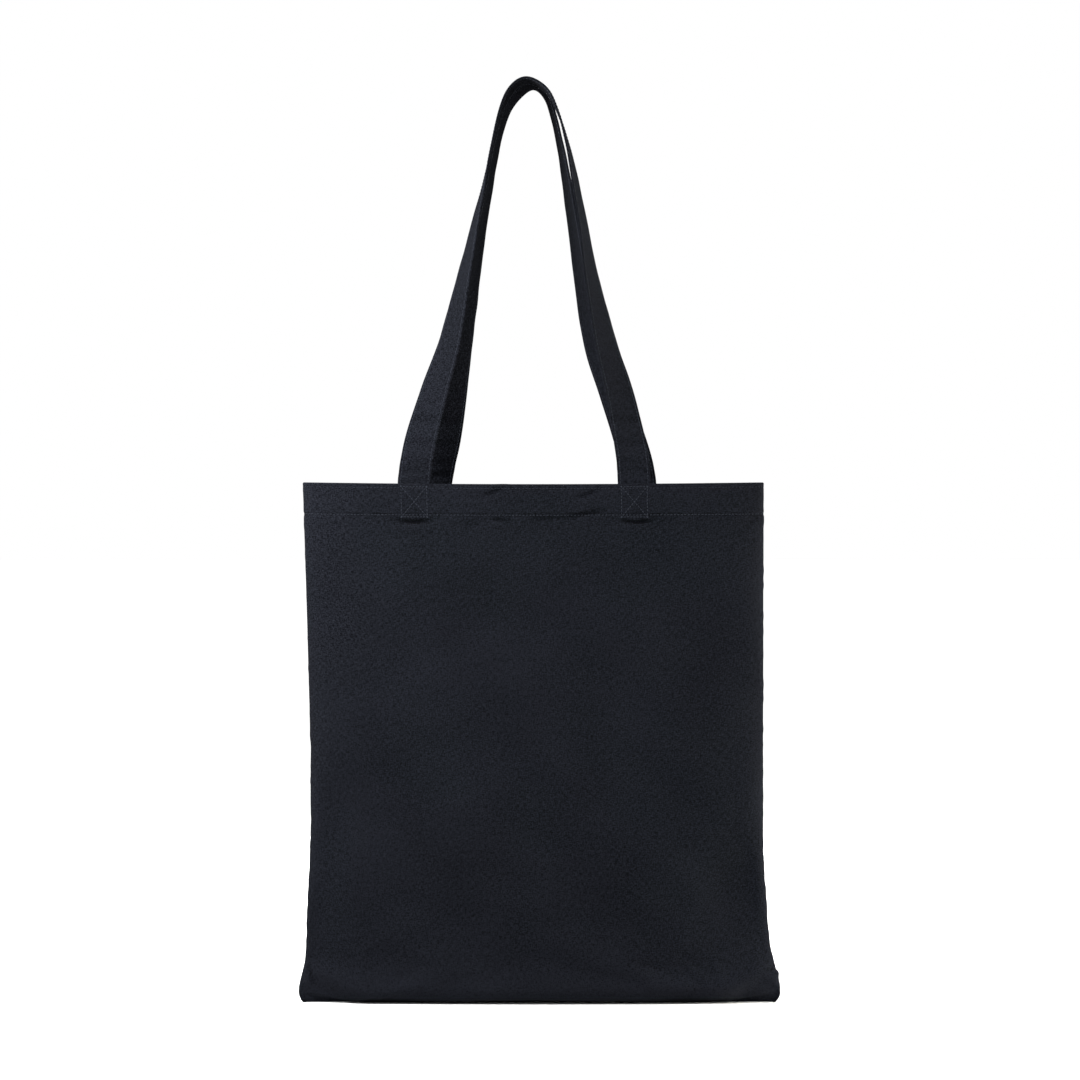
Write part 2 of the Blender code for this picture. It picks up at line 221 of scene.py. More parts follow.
class Finish:
    """A material with a Principled shader, built one named node at a time."""

    def __init__(self, name):
        self.material = bpy.data.materials.new(name)
        self.material.use_nodes = True
        self.tree = self.material.node_tree
        self.shader = self.tree.nodes["Principled BSDF"]

    def node(self, kind, settings, *values, out=0, **named):
        """Any node: its settings first, then what its sockets get, in order or by name."""
        made = self.tree.nodes.new("ShaderNode" + kind)
        for setting, value in settings.items():
            setattr(made, setting, value)
        sockets = [made.inputs[i] for i in range(len(values))]
        sockets += [made.inputs[name.replace("_", " ")] for name in named]
        for socket, value in zip(sockets, [*values, *named.values()]):
            self.feed(socket, value)
        return Shade(self, made.outputs[out])

    def feed(self, socket, value):
        if isinstance(value, Shade):
            self.tree.links.new(value.socket, socket)
        else:
            socket.default_value = value

    def mixed(self, share, first, second):
        """One colour that turns into another as share goes from 0 to 1."""
        made = self.tree.nodes.new("ShaderNodeMix")
        made.data_type = "RGBA"
        colors = [s for s in made.inputs if s.type == "RGBA"]
        self.feed(made.inputs["Factor"], share)
        for socket, value in zip(colors, (first, second)):
            self.feed(socket, value)
        return Shade(self, [s for s in made.outputs if s.type == "RGBA"][0])

    def set(self, **named):
        for name, value in named.items():
            self.feed(self.shader.inputs[name.replace("_", " ")], value)


# %% [markdown]
# ## Canvas
#
# Plain-weave canvas is yarns that go over one and under one, a little over half a millimetre
# apart.  A sine across each set of yarns gives their round backs, and the sign of the product
# of two sines says which set lies on top in each square.  The yarns are uneven: long soft
# noise along each one gives the slubs that streak black canvas, and rubbed edges turn greyer.
#
# All of it reads the cloth's own map, in metres, so the weave follows every bend of the cloth.
# The points of each piece carry a painted value: up to 1 where the cloth is rubbed grey, and
# below 0 where painted shade darkens it, in creases, under the base edge and on the straps.

# %% Canvas finish
YARN = 0.58 * MM             # from one yarn to the next
BLACK = (0.0010, 0.0011, 0.0015, 1)
FADED = (0.0083, 0.0092, 0.0124, 1)
DEEP = (0.0011, 0.0013, 0.0018, 1)


def canvas_finish(name):
    finish = Finish(name)
    cloth = finish.node("UVMap", {"uv_map": "cloth"})
    across = finish.node("SeparateXYZ", {}, cloth)
    along = finish.node("SeparateXYZ", {}, cloth, out=1)
    turn = math.pi / YARN
    warp = (across * turn).sine()
    weft = (along * turn).sine()
    over = (warp * weft).clamped(-0.25, 0.25)
    weave = (warp.size() * over).highest(weft.size() * (1 - over))

    def streaks(wide, tall, detail):
        """Soft noise drawn out along one set of yarns."""
        stretched = finish.node("CombineXYZ", {}, across * wide, along * tall, 0.0)
        return finish.node("TexNoise", {}, Vector=stretched, Scale=1.0, Detail=detail)

    slubs = streaks(330, 1500, 1.0) * 0.52 + streaks(1500, 280, 1.0) * 0.48
    patches = streaks(18, 13, 1.0)
    # The painted value greys the cloth above 0, where it is rubbed, and darkens it below 0 with painted
    # shade.
    rub_and_painted_shade = finish.node("Attribute", {"attribute_name": "wear_and_painted_shade"}, out=2)
    grain = streaks(1500, 700, 1.0) * 0.5 + streaks(600, 1600, 1.0) * 0.5
    fade = (0.5 + (slubs - 0.5) * 3.2 + (grain - 0.5) * 3.2 + (patches - 0.5) * 0.4
            + rub_and_painted_shade * 0.55).clamped(-0.25, 1.25)
    yarns = finish.mixed(fade, BLACK, FADED)
    color = finish.mixed((1 - weave) * 0.55, yarns, DEEP)
    height = weave * 0.75 + slubs * 0.5
    bump = finish.node("Bump", {}, Strength=0.55, Distance=0.25 * MM, Height=height)
    finish.set(Base_Color=color, Roughness=0.80 + (slubs - 0.5) * 0.25, Normal=bump,
               Specular_IOR_Level=0.0, Sheen_Weight=0.005, Sheen_Roughness=0.6)
    return finish.material


CANVAS = canvas_finish("black_canvas")

# %% [markdown]
# ## Thread
#
# The thread is the same black, spun tighter, so it is smoother than the canvas and catches
# more light.  Fine slanting ridges across each stitch are its two twisted plies.


# %% Thread finish
def thread_finish():
    finish = Finish("black_thread")
    place = finish.node("TexCoord", {}, out=3)
    parts = [finish.node("SeparateXYZ", {}, place, out=axis) for axis in range(3)]
    twist = ((parts[0] + parts[2] * 0.7 + parts[1]) * (2 * math.pi / (0.35 * MM))).sine()
    color = finish.mixed(twist * 0.5 + 0.5, (0.0080, 0.0091, 0.0120, 1), (0.0200, 0.0226, 0.0295, 1))
    bump = finish.node("Bump", {}, Strength=0.5, Distance=0.06 * MM, Height=twist)
    finish.set(Base_Color=color, Roughness=0.6, Normal=bump, Specular_IOR_Level=0.02)
    return finish.material


THREAD = thread_finish()
print("finishes:", [m.name for m in (CANVAS, THREAD)])

# %% [markdown]
# ## The shape the bag stands in
#
# Each panel is cut as a plain rectangle.  Sewn to its twin along both sides and the bottom, it
# stands in a shape that a few rules describe: flat faces that turn in tight curves to the side
# seams, a narrow flat base, and lower corners that poke out as two thin ears.
#
# The panel is laid out on its own cloth: even steps across it and even steps up it, from the
# bottom seam, along the floor, round the base edge and up to the rim.  The cloth beside the
# seams has no floor to lie on, so it stands up at once, and has length to spare all the way up.

# %% Sizes of the body
rim_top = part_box("front_panel")[1].z
PLY = 0.62 * MM              # one thickness of canvas
FOLD = 0.92 * MM             # half the thickness of the folded hem, at the rim
RIM = rim_top - FOLD
HEM = 25 * MM
RIM_DIP = 1.6 * MM           # the rim sags this much at mid width
BASE_FLAT = 9 * MM           # flat part of the base, on each side of the bottom seam
BASE_ROUND = 16 * MM
WAIST_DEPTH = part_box("back_panel")[1].y
WAIST_HEIGHT = 130 * MM
RIM_DEPTH = 21 * MM
PLAN_POWER = 3.0             # 2 would make the section an ellipse; more makes flatter faces
PINCH_START = 0.7            # share of the half width past which the cloth stands up at once
SECTION_HALF = (0.180, 0.026)   # rough half width and half depth of the section, in metres
TAPER_TOP = rim_top + 0.08   # where the narrowing towards the rim would come to rest
SEAM_LIP = 0.6 * MM          # each panel stands this far from the middle plane at its seams

TRUE_DROP = 60 * MM          # above this the cloth beside the seams has no length to spare

COLUMNS = 84                 # steps of about 4.5 mm, across and up
ROWS = 96


def smoothstep(start, end, value):
    share = np.clip((value - start) / (end - start), 0, 1)
    return share * share * (3 - 2 * share)


def side_seams(height):
    """x of the left and the right seam at each height; both spread towards the foot."""
    flare = np.clip((height - 0.2) / (rim_top - 0.2), 0, 1) ** 1.1
    left = 180.9 * MM + 6.2 * MM * flare
    left = left + 3.2 * MM * (1 - smoothstep(0.030, 0.150, height))
    left = left + 6.4 * MM * (1 - smoothstep(0.008, 0.038, height))
    right = 176.9 * MM + 0.5 * MM * flare
    right = right + 4.4 * MM * (1 - smoothstep(0.030, 0.140, height))
    right = right + 9.2 * MM * (1 - smoothstep(0.008, 0.052, height))
    return -left, right


def half_depth(height):
    """How far the middle of each face stands from the middle plane."""
    low = BASE_FLAT + BASE_ROUND
    rising = low + (WAIST_DEPTH - low) * smoothstep(BASE_ROUND, WAIST_HEIGHT, height)
    share = smoothstep(WAIST_HEIGHT, TAPER_TOP, height)
    full = smoothstep(WAIST_HEIGHT, TAPER_TOP, rim_top)
    narrowing = WAIST_DEPTH + (RIM_DEPTH - WAIST_DEPTH) * share / full
    return np.where(height < WAIST_HEIGHT, rising, narrowing)


def plan_share(u):
    return np.clip(1 - np.abs(u) ** PLAN_POWER, 0, 1) ** (1 / PLAN_POWER)


def wall_y(side, x, height, inset):
    """y of the upright wall at x and height, that far under its outer face."""
    left, right = side_seams(height)
    u = (x - (left + right) / 2) / ((right - left) / 2)
    return side * (half_depth(height) - inset) * plan_share(u)


# %% Lay out one panel
def even_steps(count):
    """Places across the section, from -1 to 1, with the same cloth between them."""
    angle = np.linspace(0, np.pi, 6001)
    u = -np.sign(np.cos(angle)) * np.abs(np.cos(angle)) ** (2 / PLAN_POWER)
    step = np.hypot(np.diff(u) * SECTION_HALF[0], np.diff(plan_share(u)) * SECTION_HALF[1])
    walked = np.concatenate([[0], np.cumsum(step)])
    return np.interp(np.linspace(0, walked[-1], count + 1), walked, u), walked[-1]


def centre_line(count):
    """Depth and height at mid width for even steps of cloth, and the cloth's whole length."""
    turn = np.linspace(0, np.pi / 2, 40)
    wall = np.linspace(BASE_ROUND, RIM, 400)[1:]
    depth = np.concatenate([[0], BASE_FLAT + BASE_ROUND * np.sin(turn), half_depth(wall)])
    height = np.concatenate([[0], BASE_ROUND * (1 - np.cos(turn)), wall])
    walked = np.concatenate([[0], np.cumsum(np.hypot(np.diff(depth), np.diff(height)))])
    steps = np.linspace(0, walked[-1], count + 1)
    return np.interp(steps, walked, depth), np.interp(steps, walked, height), walked[-1]


def lay_panel(side):
    """Points of a panel's outer face: rows go up the cloth, columns from left to right."""
    u, _ = even_steps(COLUMNS)
    depth, height, length = centre_line(ROWS)
    u, depth, height = u[None, :], depth[:, None], height[:, None]
    pinch = smoothstep(PINCH_START, 1.0, np.abs(u))
    drop = length * (1 - np.linspace(0, 1, ROWS + 1))[:, None]
    snug = (RIM - TRUE_DROP) * (1 - (drop - TRUE_DROP) / (length - TRUE_DROP))
    standing = np.where(drop < TRUE_DROP, RIM - drop, snug)
    lifted = height + (standing - height) * pinch
    wall = height > BASE_ROUND
    depth = np.where(wall, half_depth(lifted), depth)
    lip = np.minimum(SEAM_LIP, np.maximum(depth, SEAM_LIP))
    left, right = side_seams(lifted)
    x = (left + right) / 2 + u * (right - left) / 2
    y = side * (lip + np.maximum(depth - lip, 0) * plan_share(u))
    z = lifted - RIM_DIP * (1 - u ** 2) * (lifted / RIM) ** 6
    return np.stack(np.broadcast_arrays(x, y, z), -1), length


FRONT, BACK = -1, 1
SIDES = {FRONT: "front", BACK: "back"}
panels = {}
for side in SIDES:
    panels[side], PANEL_LENGTH = lay_panel(side)
PANEL_WIDTH = even_steps(COLUMNS)[1]
print("sewn size of a panel, mm:", round(PANEL_WIDTH / MM), "x", round(PANEL_LENGTH / MM))

# %% [markdown]
# ## Let the cloth settle
#
# The layout is too perfect, and beside the seams it holds more cloth than it has height for.
# On a real bag that spare length pushes out as soft ripples down both sides and makes the two
# ears droop.  Nothing draws such ripples better than the cloth itself, so the two panels are
# joined into one shell and Blender's Cloth settles it for a moment.
#
# The springs take their rest lengths from the flat cut, kept as a shape key.  The hem holds the
# rim still, a light pressure stands for the air in the bag, and the floor stops the base.  No
# point may move more than a few millimetres, so the bag keeps its outline.

# %% Join the panels into a shell
SETTLE_FRAMES = 34
SETTLE_CAP = 5.0 * MM


def sewn_shell():
    """Both layouts as one set of points: their index in each panel, place and flat cut."""
    rows, columns = ROWS + 1, COLUMNS + 1
    index = np.arange(2 * rows * columns).reshape(2, rows, columns)
    index[1, :, [0, -1]] = index[0, :, [0, -1]]
    index[1, 0] = index[0, 0]
    used, index = np.unique(index, return_inverse=True)
    index = index.reshape(2, rows, columns)
    laid = np.zeros((len(used), 3))
    cut = np.zeros((len(used), 3))
    for layer, side in enumerate(SIDES):
        grid = panels[side]
        across = np.linalg.norm(np.diff(grid, axis=1), axis=-1)
        across = np.concatenate([np.zeros((rows, 1)), np.cumsum(across, 1)], 1)
        laid[index[layer]] = grid
        cut[index[layer], 0] = across - across[:, -1:] / 2
        cut[index[layer], 2] = np.linspace(0, PANEL_LENGTH, rows)[:, None]
    seams = np.concatenate([index[0][:, 0], index[0][:, -1], index[0][0]])
    laid[seams, 1] = 0
    return index, laid, cut


def shell_object(index, laid, cut):
    faces = []
    for layer in range(2):
        corners = [index[layer][:-1, :-1], index[layer][:-1, 1:], index[layer][1:, 1:], index[layer][1:, :-1]]
        quads = np.stack(corners, -1).reshape(-1, 4)
        faces += (quads[:, ::-1] if layer else quads).tolist()
    mesh = bpy.data.meshes.new("settling_shell")
    mesh.from_pydata(laid.tolist(), [], faces)
    shell = bpy.data.objects.new("settling_shell", mesh)
    bpy.context.scene.collection.objects.link(shell)
    shell.shape_key_add(name="as laid")
    flat = shell.shape_key_add(name="flat cut")
    flat.data.foreach_set("co", cut.ravel())
    hold = shell.vertex_groups.new(name="held")
    hold.add(np.unique(index[:, :, [0, -1]]).tolist(), 0.12, "REPLACE")
    for row in range(ROWS + 1):
        drop = (ROWS - row) * PANEL_LENGTH / ROWS
        if row == 0 or drop < HEM * 1.2:
            weight = 1 - 0.9 * float(smoothstep(0, HEM * 1.2, drop)) if row else 1.0
            hold.add(np.unique(index[:, row]).tolist(), weight, "REPLACE")
    return shell


# %% Run the cloth
def settle(shell):
    """Where the shell's points come to rest."""
    slab = bpy.data.meshes.new("settling_floor")
    slab.from_pydata([(-1, -1, -MM), (1, -1, -MM), (1, 1, -MM), (-1, 1, -MM)], [], [(0, 1, 2, 3)])
    stop = bpy.data.objects.new("settling_floor", slab)
    bpy.context.scene.collection.objects.link(stop)
    stop.modifiers.new("stop", "COLLISION")
    stop.collision.thickness_outer = MM
    cloth = shell.modifiers.new("settle", "CLOTH")
    rules = cloth.settings
    rules.quality = 6
    rules.mass = 0.10
    rules.tension_stiffness = rules.compression_stiffness = 60
    rules.shear_stiffness = 20
    rules.bending_model = "ANGULAR"
    rules.bending_stiffness = 1.2
    rules.tension_damping = rules.compression_damping = rules.shear_damping = 5
    rules.bending_damping = 0.5
    rules.air_damping = 3
    rules.vertex_group_mass = "held"
    rules.pin_stiffness = 20
    rules.rest_shape_key = shell.data.shape_keys.key_blocks["flat cut"]
    rules.use_pressure = True
    rules.uniform_pressure_force = 0.15
    rules.effector_weights.gravity = 0.02
    cloth.collision_settings.use_self_collision = False
    cloth.collision_settings.distance_min = MM
    cloth.point_cache.frame_start = 1
    cloth.point_cache.frame_end = SETTLE_FRAMES
    scene = bpy.context.scene
    for number in range(1, SETTLE_FRAMES + 1):
        scene.frame_set(number)
    settled = shell.evaluated_get(bpy.context.evaluated_depsgraph_get()).to_mesh()
    rest = np.empty(len(settled.vertices) * 3)
    settled.vertices.foreach_get("co", rest)
    scene.frame_set(1)
    for made in (shell, stop):
        mesh = made.data
        bpy.data.objects.remove(made)
        bpy.data.meshes.remove(mesh)
    return rest.reshape(-1, 3)


def keep_near(laid, rest):
    """The settled places, none of them further than the cap from where it was laid."""
    move = rest - laid
    size = np.linalg.norm(move, axis=-1, keepdims=True)
    print("furthest move before the cap, mm:", round(float(size.max()) / MM, 1),
          "typical:", round(float(np.median(size)) / MM, 2))
    return laid + move * SETTLE_CAP * np.tanh(size / SETTLE_CAP) / np.maximum(size, 1e-9)


def keep_outline(laid, settled):
    """Gives back the width that settling took, and leaves the ripples."""
    for column in (0, -1):
        drift = (settled - laid)[:, column, 0]
        reach = np.arange(-24, 25)
        weights = np.exp(-(reach / 9) ** 2)
        padded = np.pad(drift, 24, mode="edge")
        slow = np.convolve(padded, weights / weights.sum(), mode="valid")
        u = np.linspace(-1, 1, settled.shape[1])
        near = np.clip(u if column else -u, 0, 1) ** 3
        settled[..., 0] -= slow[:, None] * near[None]


def stand_apart():
    """Keeps the two panels from passing through each other where they are pinched together."""
    front, back = panels[FRONT], panels[BACK]
    middle = (front + back) / 2
    for side, grid in panels.items():
        reach = (grid - middle)[..., 1] * side
        grid[..., 1] = middle[..., 1] + side * np.maximum(reach, SEAM_LIP)
        grid[..., 2] = np.maximum(grid[..., 2], 0.35 * MM)


shell_index, laid_points, cut_points = sewn_shell()
settled_points = keep_near(laid_points, settle(shell_object(shell_index, laid_points, cut_points)))
for layer, side in enumerate(SIDES):
    moved = settled_points[shell_index[layer]]
    keep_outline(panels[side], moved)
    moved[..., 1] += side * SEAM_LIP * (1 - plan_share(even_steps(COLUMNS)[0])) ** 4
    panels[side] = moved
stand_apart()

# %% [markdown]
# ## Finer cloth
#
# A smooth curve through the settled points gives the finer grid that the canvas needs.  Lines
# are closest together under the rim, beside the two side seams and at the foot.


# %% Refine a grid of points
def read_curve(grid, places):
    """The grid read at fractional rows, on smooth curves through its rows."""
    padded = np.concatenate([2 * grid[:1] - grid[1:2], grid, 2 * grid[-1:] - grid[-2:-1]])
    start = np.clip(np.floor(places).astype(int), 0, len(grid) - 2)
    t = (places - start).reshape(-1, *([1] * (grid.ndim - 1)))
    a, b, c, d = (padded[start + step] for step in range(4))
    return 0.5 * (2 * b + (c - a) * t + (2 * a - 5 * b + 4 * c - d) * t ** 2
                  + (3 * b - a - 3 * c + d) * t ** 3)


def read_grid(grid, rows, columns):
    across = read_curve(np.moveaxis(grid, 1, 0), columns)
    return read_curve(np.moveaxis(across, 0, 1), rows)


ROW_STEP = PANEL_LENGTH / ROWS
COLUMN_STEP = PANEL_WIDTH / COLUMNS
FINE_DROP = 36 * MM
fine_start = ROWS - round(FINE_DROP / ROW_STEP)
row_places = np.concatenate([np.linspace(0, 3, 19)[:-1],
                             np.linspace(3, fine_start, 2 * fine_start - 5)[:-1],
                             np.linspace(fine_start, ROWS, 5 * (ROWS - fine_start) + 1)])
column_places = np.concatenate([np.linspace(0, 3, 13)[:-1],
                                np.linspace(3, COLUMNS - 3, 2 * (COLUMNS - 6) + 1),
                                np.linspace(COLUMNS - 3, COLUMNS, 13)[1:]])
drops = (ROWS - row_places) * ROW_STEP              # cloth from the rim down to each row
spans = (column_places - COLUMNS / 2) * COLUMN_STEP  # cloth from mid width to each column
print("rows and columns of each panel:", len(row_places), len(column_places))


def grid_normals(grid, side):
    """Unit vectors out of the cloth at each point of a panel's grid."""
    up = np.gradient(grid, axis=0)
    across = np.gradient(grid, axis=1)
    normal = np.cross(across, up) * -side
    return normal / np.maximum(np.linalg.norm(normal, axis=-1, keepdims=True), 1e-12)


def uneven(scale, seed, *places):
    """Smooth unevenness between about -1 and 1, the same on every run."""
    random = np.random.default_rng(SEED * 100 + seed)
    total = 0
    for _ in range(7):
        heading = random.normal(size=len(places))
        heading *= (0.5 + random.random()) / np.linalg.norm(heading) / scale
        phase = random.random() * 2 * np.pi
        total = total + np.sin(2 * np.pi * sum(h * p for h, p in zip(heading, places)) + phase)
    return total / 3


# %% [markdown]
# ## Where the sewing pulls
#
# A row of stitches draws the cloth down into a shallow groove and bunches it a little, so a
# hem never lies dead straight.  Under each crossed box the cloth also has to carry the strap,
# and a short crease shows below it.  Beside the side seams the cloth is drawn up into small
# puckers.  The grooves and puckers are well under a millimetre and the creases one to three.
# The loose middle of each face also holds broad waves, about two millimetres deep.  All of it
# is too small or too particular for the cloth's own springs, so it is added along the normals
# of the finer grid.

# %% Sizes of the sewing
HEM_DROP = 24 * MM
RIM_DROP = 2.6 * MM
BOX_WIDTH = 20 * MM
BOX_TOP = 1.4 * MM
BOX_BOTTOM = 25.6 * MM
BUNCHES = {                  # small folds: across, below the rim, reach, slant, depth
    FRONT: [(37 * MM, 22.5 * MM, 12 * MM, -0.16, 1.6 * MM), (-31 * MM, 28 * MM, 9 * MM, 0.06, 1.3 * MM),
            (-35 * MM, 5.5 * MM, 8 * MM, -0.37, 1.3 * MM), (38 * MM, 7 * MM, 8 * MM, -0.30, 1.2 * MM),
            (8 * MM, 27 * MM, 14 * MM, -0.04, 1.2 * MM), (179 * MM, 399 * MM, 7 * MM, -0.3, 2.6 * MM),
            (-180 * MM, 404 * MM, 6 * MM, 1.3, 1.5 * MM)],
    BACK: [(-28 * MM, 22 * MM, 15 * MM, 0.20, 1.5 * MM), (36 * MM, 27 * MM, 14 * MM, -0.08, 1.3 * MM)],
}
STRAP_PLACES = {FRONT: (-98.4 * MM, 74.6 * MM), BACK: (-82.5 * MM, 80.1 * MM)}


def centred(x):
    """How far across the cloth from its middle a place x near the rim lies."""
    return x - sum(side_seams(RIM)) / 2


def sewing_pull(side):
    """How far the sewing moves each point of the cloth outwards."""
    d, s = drops[:, None], spans[None, :]
    near_hem = np.exp(-((d - HEM_DROP) / (1.3 * MM)) ** 2)
    below_hem = np.exp(-((d - HEM_DROP - 5 * MM) / (5 * MM)) ** 2)
    above_hem = np.exp(-((d - HEM_DROP + 5 * MM) / (5 * MM)) ** 2)
    pull = -0.5 * MM * near_hem
    pull = pull + 0.35 * MM * below_hem * uneven(14 * MM, 1 + side, s, d * 0.3)
    pull = pull + 0.22 * MM * above_hem * uneven(11 * MM, 5 + side, s, d * 0.3)
    pull = pull - 0.15 * MM * np.exp(-((d - RIM_DROP) / (1.0 * MM)) ** 2)
    for place in STRAP_PLACES[side]:
        beside = (s - centred(place)) / (13 * MM)
        crease = (d - BOX_BOTTOM - 4.2 * MM + 1.8 * MM * beside ** 2) / (1.9 * MM)
        pull = pull - 2.4 * MM * np.exp(-crease ** 2) * np.exp(-np.abs(beside) ** 3)
        swell = (d - BOX_BOTTOM - 9 * MM) / (4.5 * MM)
        pull = pull + 1.2 * MM * np.exp(-swell ** 2) * np.exp(-beside ** 2)
    for place, level, reach, lean, depth in BUNCHES[side]:
        beside = (s - centred(place)) / reach
        fold = (d - level - lean * (s - centred(place))) / (2.2 * MM)
        pull = pull - depth * np.exp(-fold ** 2) * np.exp(-beside ** 2)
        pull = pull + depth / 2 * np.exp(-(fold - 2.2) ** 2 / 2) * np.exp(-beside ** 2)
    edge = PANEL_WIDTH / 2 - np.abs(s)
    beside_seam = np.exp(-((edge - 5 * MM) / (5 * MM)) ** 2) * smoothstep(0, 4 * MM, edge)
    pull = pull + 0.30 * MM * beside_seam * uneven(15 * MM, 9 + side, d, s * 0.2)
    return pull


def slack(side):
    """Broad waves in the loose middle of a face, none at the seams, the hem and the base."""
    d, s = drops[:, None], spans[None, :]
    loose = smoothstep(30 * MM, 80 * MM, d) * smoothstep(0, 30 * MM, PANEL_WIDTH / 2 - np.abs(s))
    loose = loose * smoothstep(30 * MM, 85 * MM, PANEL_LENGTH - d)
    return loose * (2.1 * MM * uneven(125 * MM, 12 + side, s, d)
                    + 0.4 * MM * uneven(46 * MM, 16 + side, s, d))


CORNER_RADIUS = 8 * MM
CORNER_FADE = 12 * MM        # the rounding dies away over this much cloth from the seam


def round_corners(grid):
    """Rounds the two lower corners, where the corner of the seam is turned in."""
    corner = np.clip(1 - grid[..., 2] / CORNER_RADIUS, 0, 1)
    edge = PANEL_WIDTH / 2 - np.abs(spans)
    drawn_in = CORNER_RADIUS * (1 - np.sqrt(1 - corner ** 2)) * np.exp(-edge / CORNER_FADE)
    grid[..., 0] -= np.sign(spans) * drawn_in


fine, normals, pulls = {}, {}, {}
for side in SIDES:
    plain = read_grid(panels[side], row_places, column_places)
    round_corners(plain)
    pulls[side] = sewing_pull(side)
    moved = pulls[side] + slack(side)
    fine[side] = plain + grid_normals(plain, side) * moved[..., None]
    normals[side] = grid_normals(fine[side], side)

# %% [markdown]
# ## Panels
#
# A panel is one piece of canvas.  Its outer face is the grid.  At the rim the same cloth turns
# over and hangs about 25 mm down the inside, and that is the hem.  At the seams it turns in towards
# its twin, so that the seam shows as a fine groove.  Solidify then gives the cloth thickness.


# %% Build a panel
def hem_rows(side):
    """The cloth that goes over the rim and down inside it."""
    grid, normal = fine[side], normals[side]
    upward = np.array((0, 0, 1))
    rows = []
    for step in range(1, 7):
        turn = math.pi * step / 6
        out, rise = -FOLD * (1 - math.cos(turn)), FOLD * math.sin(turn)
        rows.append(grid[-1] + normal[-1] * out + upward * rise)
    for drop in np.arange(2 * MM, HEM, 2 * MM):
        row = np.argmin(np.abs(drops - drop))
        rows.append(grid[row] - normal[row] * 2 * FOLD)
    return np.stack(rows)


def curled(grid, normal, side):
    """The grid with two more lines of points at each seam, turned in to meet the other panel."""
    turned = [(0.25 * MM, 0.30 * MM), (0.95 * MM, 0.45 * MM)]
    towards = np.array((0, -side, 0))
    left = [grid[:, :1] - normal[:, :1] * i + towards * t for i, t in reversed(turned)]
    right = [grid[:, -1:] - normal[:, -1:] * i + towards * t for i, t in turned]
    return np.concatenate([*left, grid, *right], 1)


def grid_mesh(name, points, cloth, flip):
    """A mesh of quads over a grid of points, with the cloth map as its UVs."""
    rows, columns = points.shape[:2]
    index = np.arange(rows * columns).reshape(rows, columns)
    nearby = [index[:-1, :-1], index[:-1, 1:], index[1:, 1:], index[1:, :-1]]
    faces = np.stack(nearby, -1).reshape(-1, 4)
    if flip:
        faces = faces[:, ::-1]
    mesh = bpy.data.meshes.new(name)
    mesh.from_pydata(points.reshape(-1, 3).tolist(), [], faces.tolist())
    uv = mesh.uv_layers.new(name="cloth")
    uv.data.foreach_set("uv", cloth.reshape(-1, 2)[faces.ravel()].ravel())
    mesh.shade_smooth()
    return mesh


def paint_wear_and_shade(mesh, values):
    mesh.attributes.new("wear_and_painted_shade", "FLOAT", "POINT").data.foreach_set("value", values)


def cloth_map(points):
    """Metres of cloth across and along at each point of a grid."""
    across = np.linalg.norm(np.diff(points, axis=1), axis=-1)
    along = np.linalg.norm(np.diff(points, axis=0), axis=-1)
    u = np.concatenate([np.zeros((len(points), 1)), np.cumsum(across, 1)], 1)
    u -= u[:, -1:] / 2
    v = np.concatenate([[0], np.cumsum(np.median(along, 1))])
    return np.stack(np.broadcast_arrays(u, v[:, None]), -1)


def add_piece(name, mesh, material):
    piece = bpy.data.objects.new(name, mesh)
    bpy.context.scene.collection.objects.link(piece)
    mesh.materials.append(material)
    return piece


def make_panel(side):
    inner = hem_rows(side)
    outer = np.concatenate([fine[side], inner])
    outward = np.concatenate([normals[side], np.repeat(normals[side][-1:], len(inner), 0)])
    points = curled(outer, outward, side)
    name = f"{SIDES[side]}_panel_canvas"
    mesh = grid_mesh(name, points, cloth_map(points), side == BACK)
    height = points[..., 2]
    rim = 1 - np.clip(np.abs(height - rim_top) / (1.6 * MM), 0, 1)
    foot = 1 - smoothstep(4 * MM, 46 * MM, height)
    # Painted shade: the cloth is darker in the sewing's creases and hollows.
    crease_shade = np.clip(-pulls[side] / (1.8 * MM), 0, 1)
    crease_shade = np.pad(crease_shade, ((0, len(inner)), (2, 2)))
    # Painted shade: a dark line along the underside of the base edge, next to the floor.
    under = 1 - smoothstep(0.5 * MM, 5 * MM, height)
    hem = smoothstep(rim_top - HEM_DROP - MM, rim_top - HEM_DROP + MM, height)
    paint_wear_and_shade(mesh, (rim * 0.5 + hem * 0.05 + foot * 0.7 - under * 1.3 - crease_shade * 1.1).ravel())
    panel = add_piece(name, mesh, CANVAS)
    thickness = panel.modifiers.new("thickness", "SOLIDIFY")
    thickness.thickness = PLY
    thickness.offset = -1
    return panel


for side in SIDES:
    panel = make_panel(side)
    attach(panel, "bag")
    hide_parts(f"{SIDES[side]}_panel")
    print(panel.name, len(panel.data.polygons), "faces before its thickness")

# %% [markdown]
# ## Straps
#
# Each strap is one long band: a strip of canvas folded lengthwise, with both edges sewn down.
# It starts inside the bag under the hem, rises through the mouth, goes over in a loop and comes
# down the other side.  It stands flat to the bag at the rim and turns edge on as it climbs, so
# at the peak its flat side faces up.
#
# The route is a list of places along the middle of the band, read by a smooth curve.  A section
# with soft edges and two shallow stitched grooves is swept along it.

